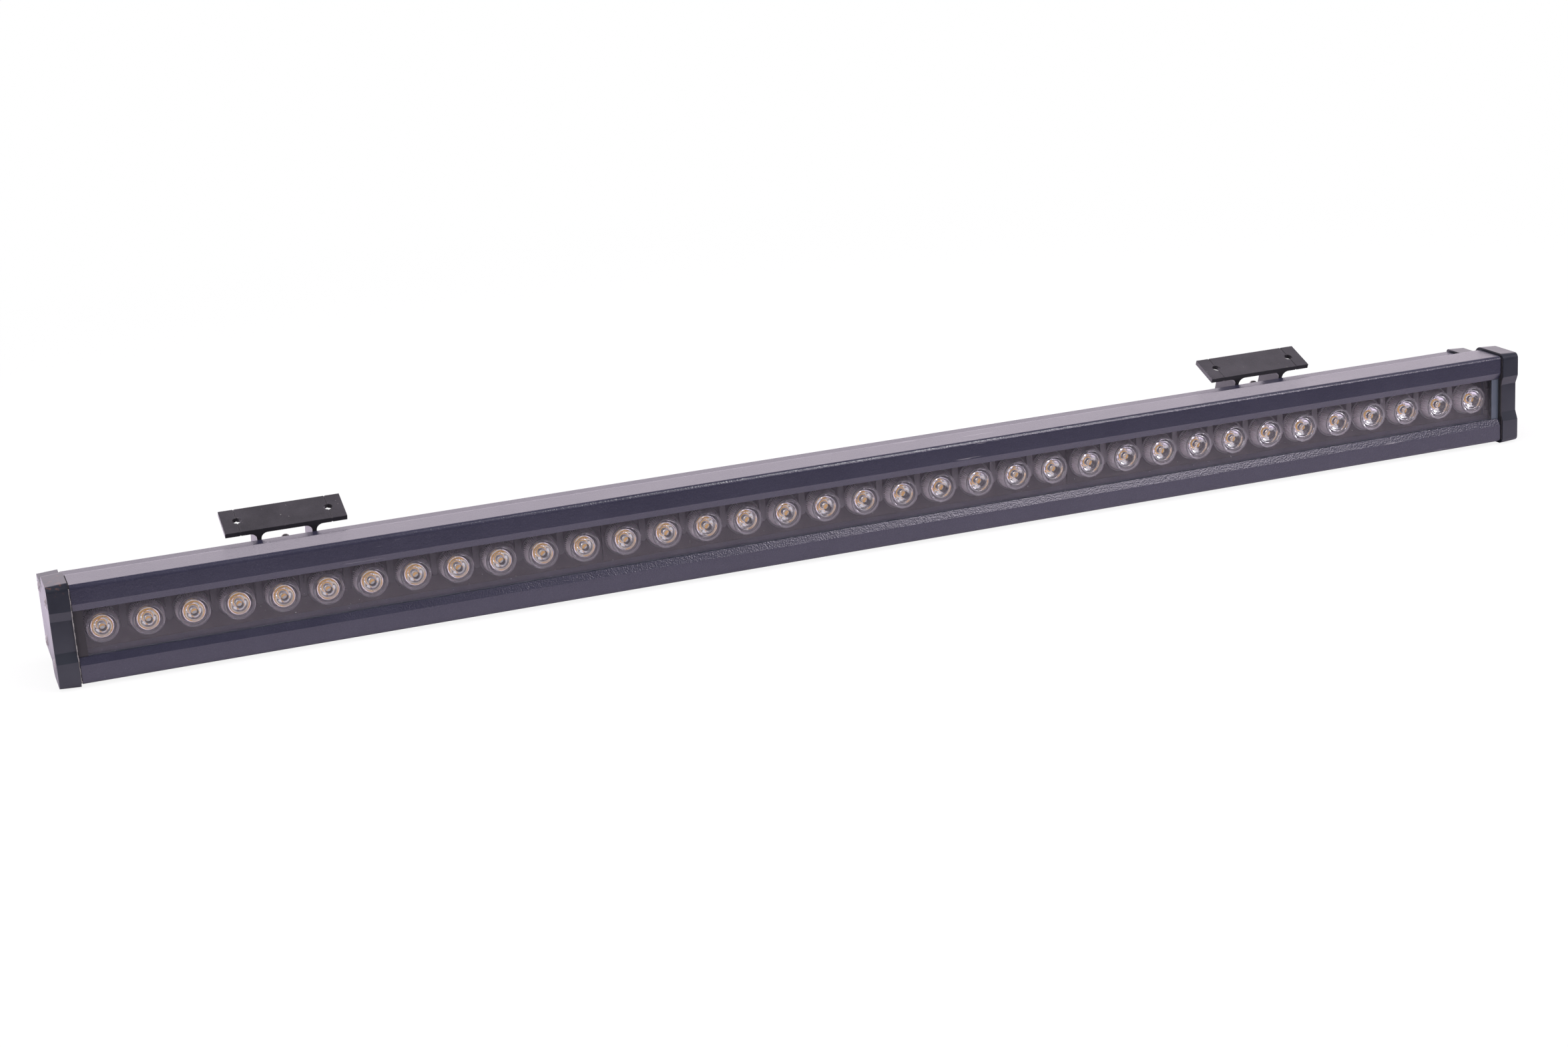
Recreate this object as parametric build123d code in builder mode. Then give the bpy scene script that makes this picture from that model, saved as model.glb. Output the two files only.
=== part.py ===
from build123d import *

import math
import os

os.makedirs("parts", exist_ok=True)

# Outdoor linear wall washer light. Millimetres, +Z up.
# X runs along the lamp, -Y is the way it shines, and the origin is the middle of the
# mouth of the mounting channel, on the flat rear face of the housing.

# ---------------------------------------------------------------- driving dimensions
overall_length = 1000.0        # outer face of one end cap to the other
depth = 66.0                   # front of the lips to the rear face
body_height = 43.4             # the lower rear part of the extrusion
head_step = 8.8                # how far its taller front part stands out above and below
head_depth = 31.6
wall = 2.0
front_corner_radius = 2.8
body_rear_radius = 1.0
step_radius = 0.8
step_flat = 0.5                # between the head's rear rounding and the step's corner

window_front_height = 37.4     # between the lips, at their front
window_height = 28.4           # between the lips, at the glass
lip_depth = 2.2                # how far the lips slope in
glass_thickness = 4.0
glass_edge_cover = 2.6         # how far the glass runs on behind each lip
seal_lip = 0.3                 # silicone in front of and behind the glass
seal_edge = 0.6                # silicone beyond the glass's long edges
chamber_height = 29.2
ledge = 1.6                    # rib that holds the glass from behind

lamp_count = 36
board_count = 3
lamp_pitch = 26.875
board_thickness = 1.6
board_gap = 0.5                # between neighbouring boards
board_groove = 1.0             # how far the grooves go into the chamber's sides
web_thickness = 3.0            # heat-sink wall behind the boards
lens_to_board = 10.7           # board's face to the lens's front
groove_clearance = 0.2

lens_radius = 9.55
lens_flange = 1.3
lens_seat_radius = 8.3
lens_foot_radius = 4.6
holder_radius = 9.6
holder_wall = 1.1
emitter_side = 3.5
emitter_base = 0.6
emitter_dome_radius = 1.25
emitter_dome = 0.7
optic_clearance = 0.3

channel_mouth = 6.4            # T-slot along the rear face
channel_width = 13.0
channel_lip = 2.2
channel_depth = 7.0

cap_width = 12.5
cap_proud = 1.5                # how far the caps stand out round the housing
cap_rear_proud = 1.8
cap_rear_radius = 2.5
cap_draft = 3.2                # degrees, towards the outer face
cap_wall = 2.4
cap_end_wall = 3.0
waist_height = 19.2            # flat of the cap's front where it steps back at the glass
waist_slope_height = 31.2      # outer ends of the two slopes beside that flat
waist_setback = 2.7
seal_thickness = 1.0           # gasket between cap and housing
seal_inset = 0.4

screw_radius = 2.0             # M4 cap screws
screw_clearance = 0.1
screw_head_radius = 4.0
screw_head = 2.4
screw_head_proud = 0.8
screw_length = 26.0
screw_boss_radius = 3.7
front_screw_depth = 11.0       # behind the front of the lips
front_screw_height = 18.8
rear_screw_depth = 55.0
rear_screw_height = 17.0

left_bracket_inset = 152.1     # from each end of the lamp to its bracket's middle
right_bracket_inset = 164.7
bracket_length = 76.0
bracket_width = 24.0
bracket_plate = 3.1
bracket_leg = 2.8
bracket_inside = 31.6          # between the legs
bracket_fillet = 4.2
bracket_height = 35.2          # pivot to the plate's outer face
bracket_tilt = 21.6            # degrees, plate's rear edge raised
bracket_hole_spacing = 57.0
bracket_hole_radius = 2.8
guide_groove = 0.5

pivot_depth = 24.0             # behind the rear face
pivot_radius = 3.0             # M6 pivot bolt
running_clearance = 0.08
side_clearance = 0.3           # knuckle to each leg
slide_clearance = 0.15
flange_length = 60.0
flange_height = 20.0
flange_thickness = 3.5
knuckle_height = 22.0
knuckle_radius = 8.0
knuckle_shoulder = 16.0        # where the knuckle starts to taper to its round end
slit = 1.2
slit_start = 7.0
clamp_screw_depth = 10.5
clamp_screw_radius = 2.0
clamp_nut_flats = 7.0
clamp_nut_hex = 3.2
clamp_dome_radius = 2.75
clamp_nut_top = 19.8
clamp_head = 2.8
washer_thickness = 1.4
small_washer_thickness = 0.8

slot_bolt_spacing = 48.0       # M5 bolts whose heads sit in the channel
slot_bolt_radius = 2.5
slot_bolt_hole = 2.7
slot_head_length = 12.0
slot_head_height = 10.0
slot_head_thickness = 3.4
slot_nut_flats = 8.0
slot_nut_height = 4.0
bolt_end = 1.5                 # thread past each nut
pivot_head_flats = 10.0
pivot_head_height = 4.0
pivot_nut_height = 5.0

driver_length = 230.0
driver_height = 34.0
driver_place = 60.0
driver_standoff = 6.0
standoff_radius = 2.5
standoff_inset = 8.0
lead_hole_radius = 4.0
lead_radius = 0.8
lead_spacing = 3.0
grommet_flange = 1.2
grommet_rim = 1.6

gland_depth = 40.0             # behind the front of the lips, on the right cap
gland_thread_radius = 6.0
gland_bore_radius = 3.3
gland_flats = 15.0
gland_hex = 4.5
gland_nut_radius = 7.2
gland_nut = 12.0
gland_nut_round = 2.5
gland_seal_wall = 1.0
gland_clearance = 0.15
locknut_thickness = 3.0

# ---------------------------------------------------------------- derived places
front = -depth
cap_inner = overall_length / 2 - cap_width
housing_half = cap_inner - seal_thickness
head_rear = front + head_depth
body_half = body_height / 2
head_half = body_half + head_step
head_rear_radius = head_step - step_radius - step_flat
lip_back = front + lip_depth
slot_front = lip_back + 0.2
slot_back = slot_front + glass_thickness + 2 * seal_lip
glass_half = window_height / 2 + glass_edge_cover
slot_half = glass_half + seal_edge
chamber_half = chamber_height / 2
lens_front = front + 9.7                        # set back behind the glass
board_face = lens_front + lens_to_board
web_front = board_face + board_thickness
web_back = web_front + web_thickness
board_half = chamber_half + board_groove - groove_clearance
channel_half = channel_width / 2
rear_chamber_back = -(channel_depth + wall)
rear_chamber_half = body_half - wall
glass_end = housing_half - 5.5
lamps_per_board = lamp_count // board_count
board_pitch = lamps_per_board * lamp_pitch
board_length = board_pitch - board_gap
emitter_top = board_face - emitter_base - emitter_dome
cap_screw_places = [
    (front + front_screw_depth, front_screw_height),
    (front + front_screw_depth, -front_screw_height),
    (front + rear_screw_depth, rear_screw_height),
    (front + rear_screw_depth, -rear_screw_height),
]
gland_y = front + gland_depth
left_bracket_place = left_bracket_inset - overall_length / 2
right_bracket_place = overall_length / 2 - right_bracket_inset
plate_under = bracket_height - bracket_plate
knuckle_half = bracket_inside / 2 - side_clearance
leg_outer = bracket_inside / 2 + bracket_leg
flange_back = slide_clearance + flange_thickness
tilt = math.radians(bracket_tilt)
pivot_normal = (0, -math.sin(tilt), math.cos(tilt))      # out of the bracket plate
pivot_along = (0, math.cos(tilt), math.sin(tilt))        # across the bracket plate


def hexagon(flats):
    """A regular hexagon given by its width across flats."""
    return RegularPolygon(radius=flats / 2, side_count=6, major_radius=False)


def finish(builder, label):
    """Name a finished piece and write it."""
    builder.part.label = label
    export_step(builder.part, f"parts/{label}.step")


# ---------------------------------------------------------------- housing
# A stepped section: a tall head whose two lips slope in to the glass, and a lower body
# behind it with the mounting channel along its rear.
with BuildPart() as housing:
    with BuildSketch(Plane.YZ) as housing_outline:
        with BuildLine():
            Polyline(
                (front, 0), (front, head_half), (head_rear, head_half),
                (head_rear, body_half), (0, body_half), (0, 0), close=True,
            )
        make_face()
        mirror(about=Plane.XZ)
        front_corners = housing_outline.vertices().filter_by(
            lambda v: abs(v.X - front) < 0.01 and abs(v.Y) > 1)
        fillet(front_corners, front_corner_radius)
        rear_corners = housing_outline.vertices().filter_by(
            lambda v: abs(v.X - head_rear) < 0.01 and abs(v.Y) > body_half + 1)
        fillet(rear_corners, head_rear_radius)
        step_corners = housing_outline.vertices().filter_by(
            lambda v: abs(v.X - head_rear) < 0.01 and abs(abs(v.Y) - body_half) < 0.01)
        fillet(step_corners, step_radius)
        body_corners = housing_outline.vertices().filter_by(lambda v: abs(v.X) < 0.01 and abs(v.Y) > 1)
        fillet(body_corners, body_rear_radius)
    extrude(amount=housing_half, both=True)
    # Everything that runs through the extrusion from end to end.
    with BuildSketch(Plane.YZ) as inside:
        with BuildLine():
            Polyline(
                (front - 1, window_front_height / 2 + 1 * (window_front_height - window_height)
                 / (2 * lip_depth)),
                (lip_back, window_height / 2), (slot_front, window_height / 2),
                (slot_front, slot_half), (slot_back, slot_half), (slot_back, chamber_half),
                (board_face - groove_clearance, chamber_half),
                (board_face - groove_clearance, chamber_half + board_groove),
                (web_front, chamber_half + board_groove), (web_front, 0), (front - 1, 0),
                close=True,
            )
        make_face()
        with BuildLine():
            Polyline(
                (web_back, 0), (web_back, rear_chamber_half),
                (rear_chamber_back, rear_chamber_half), (rear_chamber_back, 0), close=True,
            )
        make_face()
        with BuildLine():
            Polyline(
                (0.5, channel_mouth / 2), (-channel_lip, channel_mouth / 2),
                (-channel_lip, channel_half), (-channel_depth, channel_half),
                (-channel_depth, 0), (0.5, 0), close=True,
            )
        make_face()
        hollow_low = slot_half + wall
        groove_top = chamber_half + board_groove + wall
        hollow_rear = head_rear - wall
        with BuildLine():
            Polyline(
                (front + wall, head_half - wall), (front + wall, hollow_low),
                (slot_back + 9, hollow_low), (slot_back + 9, groove_top),
                (web_back - wall, groove_top), (web_back - wall, body_half),
                (hollow_rear, body_half), (hollow_rear, head_half - head_rear_radius),
                (hollow_rear - head_rear_radius + wall, head_half - wall), close=True,
            )
        make_face()
        mirror(about=Plane.XZ)
        with Locations(*cap_screw_places):
            Circle(screw_boss_radius, mode=Mode.SUBTRACT)
        with Locations(*cap_screw_places):
            Circle(screw_radius + screw_clearance)
    extrude(amount=housing_half + 1, both=True, mode=Mode.SUBTRACT)
    # Hole for the leads from the driver to the boards.
    with Locations(Location((driver_place, (web_front + web_back) / 2, 0), (90, 0, 0))):
        Cylinder(lead_hole_radius, 2 * web_thickness, mode=Mode.SUBTRACT)
finish(housing, "housing")

# ---------------------------------------------------------------- glass and its seals
with BuildPart() as glass:
    with BuildSketch(Plane.YZ):
        with Locations(((slot_front + slot_back) / 2, 0)):
            Rectangle(glass_thickness, 2 * glass_half)
    extrude(amount=glass_end, both=True)
    chamfer(glass.edges().filter_by(Axis.X).sort_by(Axis.Y)[:2], 0.5)
finish(glass, "glass_cover")

for name, side in (("glass_seal_top", 1), ("glass_seal_bottom", -1)):
    with BuildPart() as glass_seal:
        with BuildSketch(Plane.YZ):
            inner_edge = window_height / 2 + 0.2
            with Locations(((slot_front + slot_back) / 2, side * (inner_edge + slot_half) / 2)):
                Rectangle(slot_back - slot_front, slot_half - inner_edge)
            with Locations(((slot_front + slot_back) / 2, side * (inner_edge + glass_half) / 2)):
                Rectangle(glass_thickness, glass_half - inner_edge, mode=Mode.SUBTRACT)
        extrude(amount=housing_half, both=True)
    finish(glass_seal, name)

for name, side in (("glass_end_seal_left", -1), ("glass_end_seal_right", 1)):
    with BuildPart() as end_seal:
        middle = side * (glass_end + housing_half) / 2
        with Locations((middle, (slot_front + slot_back) / 2, 0)):
            Box(housing_half - glass_end, glass_thickness, 2 * glass_half)
    finish(end_seal, name)

# ---------------------------------------------------------------- boards, emitters, lenses
for board in range(board_count):
    board_place = (board - (board_count - 1) / 2) * board_pitch
    lamp_places = [
        (board_place + (n - (lamps_per_board - 1) / 2) * lamp_pitch, 0)
        for n in range(lamps_per_board)
    ]
    # Sketches on these planes are seen from the front, so their heights run backwards.
    board_plane = Plane(origin=(0, board_face, 0), x_dir=(1, 0, 0), z_dir=(0, -1, 0))
    lens_plane = board_plane.offset(lens_to_board)

    with BuildPart() as led_board:
        with BuildSketch(board_plane):
            with Locations((board_place, 0)):
                Rectangle(board_length, 2 * board_half)
        extrude(amount=-board_thickness)
    finish(led_board, f"led_board_{board + 1}")

    with BuildPart() as emitters:
        with BuildSketch(board_plane):
            with Locations(*lamp_places):
                Rectangle(emitter_side, emitter_side)
        extrude(amount=emitter_base)
        with BuildSketch(board_plane.offset(emitter_base)):
            with Locations(*lamp_places):
                RegularPolygon(emitter_dome_radius, 8)
        extrude(amount=emitter_dome, taper=30)
    finish(emitters, f"led_emitters_{board + 1}")

    with BuildPart() as holders:
        with BuildSketch(board_plane):
            with Locations(*lamp_places):
                Circle(holder_radius)
                Circle(holder_radius - holder_wall, mode=Mode.SUBTRACT)
        extrude(amount=lens_to_board - lens_flange)
    finish(holders, f"lens_holders_{board + 1}")

    # Each lens is a solid cone of clear plastic under a round flange.
    with BuildPart() as lenses:
        with BuildSketch(Plane.XY) as lens_section:
            cone_top = board_face - lens_to_board + lens_flange
            cone_foot = emitter_top - optic_clearance
            with BuildLine():
                Polyline(
                    (0, lens_front), (lens_radius, lens_front), (lens_radius, cone_top),
                    (lens_seat_radius, cone_top), (lens_foot_radius, cone_foot),
                    (0, cone_foot), close=True,
                )
            make_face()
        revolve(axis=Axis.Y)
        one_lens = lenses.part
    with BuildPart() as lens_row:
        with Locations(*[(x, 0, 0) for x, z in lamp_places]):
            add(one_lens)
    finish(lens_row, f"lenses_{board + 1}")

# ---------------------------------------------------------------- driver inside the body
driver_face = web_back + driver_standoff
with BuildPart() as standoffs:
    with Locations(Location((driver_place, web_back, 0), (-90, 0, 0))):
        with GridLocations(driver_length - 2 * standoff_inset,
                           driver_height - 2 * standoff_inset, 2, 2):
            Cylinder(standoff_radius, driver_standoff,
                     align=(Align.CENTER, Align.CENTER, Align.MIN))
finish(standoffs, "driver_standoffs")

with BuildPart() as driver_board:
    with Locations((driver_place, driver_face + board_thickness / 2, 0)):
        Box(driver_length, board_thickness, driver_height)
finish(driver_board, "driver_board")

parts_face = driver_face + board_thickness
with BuildPart() as transformer:
    with Locations((driver_place - 30, parts_face + 8, 0)):
        Box(24, 16, 26)
        Box(32, 10, 20)
finish(transformer, "driver_transformer")

with BuildPart() as capacitors:
    with Locations(Location((driver_place + 12, parts_face + 8.2, 0), (0, 90, 0)),
                   Location((driver_place + 42, parts_face + 8.2, 0), (0, 90, 0))):
        Cylinder(8, 22)
finish(capacitors, "driver_capacitors")

with BuildPart() as choke:
    with Locations(Location((driver_place + 80, parts_face + 6, 0), (90, 0, 0))):
        Cylinder(10, 12)
        Cylinder(4, 12, mode=Mode.SUBTRACT)
finish(choke, "driver_choke")

with BuildPart() as terminal:
    with Locations((driver_place + 104, parts_face + 5, 0)):
        Box(9, 10, 22)
    with Locations(*[Location((driver_place + 104, parts_face + 10, z), (90, 0, 0))
                     for z in (-7, 0, 7)]):
        Cylinder(1.8, 3, mode=Mode.SUBTRACT)
finish(terminal, "terminal_block")

with BuildPart() as grommet:
    with Locations(Location((driver_place, web_back, 0), (-90, 0, 0))):
        Cylinder(lead_hole_radius - 0.1, web_thickness,
                 align=(Align.CENTER, Align.CENTER, Align.MAX))
        Cylinder(lead_hole_radius + grommet_rim, grommet_flange,
                 align=(Align.CENTER, Align.CENTER, Align.MIN))
        with Locations((-lead_spacing / 2, 0, 0), (lead_spacing / 2, 0, 0)):
            Cylinder(lead_radius + 0.05, 4 * web_thickness, mode=Mode.SUBTRACT)
finish(grommet, "lead_grommet")

with BuildPart() as leads:
    with Locations(Location((driver_place, web_front, 0), (-90, 0, 0))):
        with Locations((-lead_spacing / 2, 0, 0), (lead_spacing / 2, 0, 0)):
            Cylinder(lead_radius, driver_face - web_front,
                     align=(Align.CENTER, Align.CENTER, Align.MIN))
finish(leads, "led_leads")

# ---------------------------------------------------------------- end caps, seals, screws


def cap_outline():
    """The cap's outline at its inner face: the housing's, a little larger, with a waist."""
    with BuildSketch(Plane.YZ) as outline:
        cap_front = front - cap_proud
        cap_top = head_half + cap_proud
        cap_rear = cap_rear_proud
        cap_step = head_rear + cap_proud
        cap_body = body_half + cap_proud
        with BuildLine():
            Polyline(
                (cap_front + waist_setback, 0), (cap_front + waist_setback, waist_height / 2),
                (cap_front, waist_slope_height / 2), (cap_front, cap_top), (cap_step, cap_top),
                (cap_step, cap_body), (cap_rear, cap_body), (cap_rear, 0), close=True,
            )
        make_face()
        mirror(about=Plane.XZ)
        fillet(outline.vertices().filter_by(
            lambda v: abs(v.X - cap_front) < 0.01 and abs(v.Y) > cap_top - 0.01),
            front_corner_radius + cap_proud)
        fillet(outline.vertices().filter_by(
            lambda v: abs(v.X - cap_step) < 0.01 and abs(v.Y) > cap_body + 1),
            head_rear_radius)
        fillet(outline.vertices().filter_by(
            lambda v: abs(v.X - cap_step) < 0.01 and abs(abs(v.Y) - cap_body) < 0.01),
            step_radius)
        fillet(outline.vertices().filter_by(
            lambda v: abs(v.X - cap_rear) < 0.01 and abs(v.Y) > 1), cap_rear_radius)
    return outline.sketch_local


cap_face = cap_outline()
seal_face = offset(housing_outline.sketch_local, amount=-seal_inset, mode=Mode.PRIVATE)

for name, side in (("left", -1), ("right", 1)):
    inner_plane = Plane(origin=(side * cap_inner, 0, 0), x_dir=(0, 1, 0), z_dir=(1, 0, 0))
    with BuildPart() as cap:
        with BuildSketch(inner_plane):
            add(cap_face)
        extrude(amount=side * cap_width, taper=cap_draft)
        # Hollow behind the outer wall, with a boss round each screw.
        with BuildSketch(inner_plane):
            add(offset(cap_face, amount=-(cap_wall + cap_proud), mode=Mode.PRIVATE))
            with Locations(*cap_screw_places):
                Circle(screw_boss_radius + 1.5, mode=Mode.SUBTRACT)
            if side == 1:
                with Locations((gland_y, 0)):
                    Circle(gland_thread_radius + 4)
        extrude(amount=side * (cap_width - cap_end_wall), mode=Mode.SUBTRACT)
        with BuildSketch(inner_plane):
            with Locations(*cap_screw_places):
                Circle(screw_radius + 2 * screw_clearance)
        extrude(amount=side * (cap_width + 1), mode=Mode.SUBTRACT)
        with BuildSketch(inner_plane.offset(side * (cap_width - screw_head + screw_head_proud))):
            with Locations(*cap_screw_places):
                Circle(screw_head_radius + 2 * screw_clearance)
        extrude(amount=side * screw_head, mode=Mode.SUBTRACT)
        if side == 1:
            with BuildSketch(inner_plane):
                with Locations((gland_y, 0)):
                    Circle(gland_thread_radius + gland_clearance)
            extrude(amount=cap_width + 1, mode=Mode.SUBTRACT)
    finish(cap, f"end_cap_{name}")

    with BuildPart() as cap_seal:
        with BuildSketch(Plane(origin=(side * housing_half, 0, 0),
                               x_dir=(0, 1, 0), z_dir=(1, 0, 0))):
            add(seal_face)
            with Locations(((web_back + rear_chamber_back) / 2, 0)):
                Rectangle(rear_chamber_back - web_back - 6, 2 * rear_chamber_half - 12,
                          mode=Mode.SUBTRACT)
            with Locations(((slot_back + web_front) / 2, 0)):
                Rectangle(web_front - slot_back - 2, chamber_height - 6, mode=Mode.SUBTRACT)
            with Locations(*cap_screw_places):
                Circle(screw_radius + 2 * screw_clearance, mode=Mode.SUBTRACT)
        extrude(amount=side * seal_thickness)
    finish(cap_seal, f"end_seal_{name}")

    with BuildPart() as cap_screws:
        head_plane = Plane(
            origin=(side * (overall_length / 2 + screw_head_proud), 0, 0),
            x_dir=(0, 1, 0), z_dir=(1, 0, 0))
        with BuildSketch(head_plane.offset(-side * screw_head)):
            with Locations(*cap_screw_places):
                Circle(screw_head_radius)
        extrude(amount=side * screw_head)
        chamfer(cap_screws.edges().filter_by(GeomType.CIRCLE).group_by(Axis.X)[
            -1 if side == 1 else 0], 0.7)
        with BuildSketch(head_plane.offset(-side * screw_head)):
            with Locations(*cap_screw_places):
                Circle(screw_radius)
        extrude(amount=-side * screw_length)
        with BuildSketch(head_plane):
            with Locations(*cap_screw_places):
                Rectangle(4.2, 0.9)
                Rectangle(0.9, 4.2)
        extrude(amount=-side * 1.2, mode=Mode.SUBTRACT)
    finish(cap_screws, f"cap_screws_{name}")

# ---------------------------------------------------------------- cable gland, right end
gland_plane = Plane(origin=(overall_length / 2, gland_y, 0), x_dir=(0, 1, 0), z_dir=(1, 0, 0))
gland_inside = cap_end_wall + locknut_thickness + gland_clearance
with BuildPart() as gland_body:
    with BuildSketch(gland_plane):
        hexagon(gland_flats)
    extrude(amount=gland_hex)
    with BuildSketch(gland_plane):
        Circle(gland_thread_radius)
    extrude(amount=-gland_inside)
    with BuildSketch(gland_plane.offset(-gland_inside)):
        Circle(gland_bore_radius)
    extrude(amount=gland_inside + gland_hex, mode=Mode.SUBTRACT)
finish(gland_body, "gland_body")

with BuildPart() as gland_nut_part:
    with BuildSketch(gland_plane.offset(gland_hex)):
        Circle(gland_nut_radius)
    extrude(amount=gland_nut)
    fillet(gland_nut_part.edges().filter_by(GeomType.CIRCLE).sort_by(Axis.X)[-1],
           gland_nut_round)
    with BuildSketch(gland_plane.offset(gland_hex)):
        Circle(gland_bore_radius + gland_seal_wall)
    extrude(amount=gland_nut, mode=Mode.SUBTRACT)
finish(gland_nut_part, "gland_nut")

with BuildPart() as gland_seal:
    with BuildSketch(gland_plane.offset(gland_hex)):
        Circle(gland_bore_radius + gland_seal_wall - 0.05)
        Circle(gland_bore_radius, mode=Mode.SUBTRACT)
    extrude(amount=gland_nut - 0.5)
finish(gland_seal, "gland_seal")

with BuildPart() as locknut:
    with BuildSketch(gland_plane.offset(-cap_end_wall)):
        hexagon(gland_flats)
        Circle(gland_thread_radius + 0.05, mode=Mode.SUBTRACT)
    extrude(amount=-locknut_thickness)
finish(locknut, "gland_locknut")

# ---------------------------------------------------------------- mounting brackets
# Each bracket is a slice of a plate-and-two-legs extrusion. It turns on a bolt through
# the knuckle of a saddle, which two bolts clamp anywhere along the rear channel.
for name, place in (("left", left_bracket_place), ("right", right_bracket_place)):
    pivot = Vector(place, pivot_depth, 0)
    section_plane = Plane(origin=pivot, x_dir=(1, 0, 0), z_dir=tuple(-a for a in pivot_along))
    leg_plane = Plane(origin=pivot, x_dir=pivot_along, z_dir=(1, 0, 0))
    plate_plane = Plane(origin=pivot, x_dir=(1, 0, 0), z_dir=pivot_normal)
    across_plane = Plane(origin=pivot, x_dir=(0, 1, 0), z_dir=(1, 0, 0))

    with BuildPart() as bracket:
        with BuildSketch(section_plane) as section:
            with Locations((0, (plate_under + bracket_height) / 2)):
                Rectangle(bracket_length, bracket_plate)
            leg_middle = (bracket_inside + bracket_leg) / 2
            leg_length = plate_under + bracket_width / 2
            with Locations((-leg_middle, plate_under), (leg_middle, plate_under)):
                Rectangle(bracket_leg, leg_length, align=(Align.CENTER, Align.MAX))
            roots = section.vertices().filter_by(
                lambda v: abs(section_plane.to_local_coords(v).Y - plate_under) < 0.01
                and abs(section_plane.to_local_coords(v).X) < leg_outer + 0.01)
            fillet(roots, bracket_fillet)
            grooves = [(x, y) for x in (-bracket_hole_spacing / 2, bracket_hole_spacing / 2)
                       for y in (plate_under, bracket_height)]
            with Locations(*grooves):
                Rectangle(guide_groove * 1.4, guide_groove * 1.4, rotation=45,
                          mode=Mode.SUBTRACT)
        extrude(amount=bracket_width / 2, both=True)
        with BuildSketch(leg_plane):
            Circle(bracket_width / 2)
            with Locations((0, 0)):
                Rectangle(bracket_width, bracket_height, align=(Align.CENTER, Align.MIN))
        extrude(amount=bracket_length, both=True, mode=Mode.INTERSECT)
        with BuildSketch(plate_plane.offset(plate_under - 1)):
            with Locations((-bracket_hole_spacing / 2, 0), (bracket_hole_spacing / 2, 0)):
                Circle(bracket_hole_radius)
        extrude(amount=bracket_plate + 2, mode=Mode.SUBTRACT)
        with BuildSketch(across_plane):
            Circle(pivot_radius + running_clearance)
        extrude(amount=bracket_length, both=True, mode=Mode.SUBTRACT)
    finish(bracket, f"bracket_{name}")

    with BuildPart() as saddle:
        with Locations((place, slide_clearance + flange_thickness / 2, 0)):
            Box(flange_length, flange_thickness, flange_height)
        with BuildSketch(across_plane):
            with BuildLine():
                Polyline(
                    (flange_back - pivot_depth - 0.5, -knuckle_height / 2),
                    (knuckle_shoulder - pivot_depth, -knuckle_height / 2),
                    (0, -knuckle_radius), (0, knuckle_radius),
                    (knuckle_shoulder - pivot_depth, knuckle_height / 2),
                    (flange_back - pivot_depth - 0.5, knuckle_height / 2), close=True,
                )
            make_face()
            Circle(knuckle_radius)
            Circle(pivot_radius + running_clearance, mode=Mode.SUBTRACT)
            with Locations((slit_start - pivot_depth, 0)):
                Rectangle(pivot_depth - slit_start, slit, align=(Align.MIN, Align.CENTER),
                          mode=Mode.SUBTRACT)
        extrude(amount=knuckle_half, both=True)
        with Locations((place, clamp_screw_depth, 0)):
            Cylinder(clamp_screw_radius + 0.2, 2 * knuckle_height, mode=Mode.SUBTRACT)
        with BuildSketch(Plane(origin=(place, 0, 0), x_dir=(1, 0, 0), z_dir=(0, 1, 0))):
            with Locations((-slot_bolt_spacing / 2, 0), (slot_bolt_spacing / 2, 0)):
                Circle(slot_bolt_hole)
        extrude(amount=flange_back + 1, mode=Mode.SUBTRACT)
    finish(saddle, f"saddle_{name}")

    washer_inner = leg_outer + 0.1
    washer_outer = washer_inner + washer_thickness
    with BuildPart() as pivot_bolt:
        with BuildSketch(across_plane.offset(-washer_outer)):
            hexagon(pivot_head_flats)
        extrude(amount=-pivot_head_height)
        with BuildSketch(across_plane.offset(-washer_outer)):
            Circle(pivot_radius)
        extrude(amount=2 * washer_outer + pivot_nut_height + bolt_end)
    finish(pivot_bolt, f"pivot_bolt_{name}")

    with BuildPart() as pivot_nut:
        with BuildSketch(across_plane.offset(washer_outer)):
            hexagon(pivot_head_flats)
            Circle(pivot_radius + 0.05, mode=Mode.SUBTRACT)
        extrude(amount=pivot_nut_height)
    finish(pivot_nut, f"pivot_nut_{name}")

    with BuildPart() as pivot_washers:
        with BuildSketch(across_plane.offset(-washer_outer), across_plane.offset(washer_inner)):
            Circle(2 * pivot_radius)
            Circle(pivot_radius + 0.05, mode=Mode.SUBTRACT)
        extrude(amount=washer_thickness)
    finish(pivot_washers, f"pivot_washers_{name}")

    slot_plane = Plane(origin=(place, 0, 0), x_dir=(-1, 0, 0), z_dir=(0, 1, 0))
    bolt_places = [(-slot_bolt_spacing / 2, 0), (slot_bolt_spacing / 2, 0)]
    head_face = -(channel_lip + slide_clearance)
    nut_face = flange_back + small_washer_thickness
    with BuildPart() as slot_bolts:
        with BuildSketch(slot_plane.offset(head_face - slot_head_thickness)):
            with Locations(*bolt_places):
                Rectangle(slot_head_length, slot_head_height)
        extrude(amount=slot_head_thickness)
        with BuildSketch(slot_plane.offset(head_face)):
            with Locations(*bolt_places):
                Circle(slot_bolt_radius)
        extrude(amount=nut_face + slot_nut_height + bolt_end - head_face)
    finish(slot_bolts, f"channel_bolts_{name}")

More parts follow.
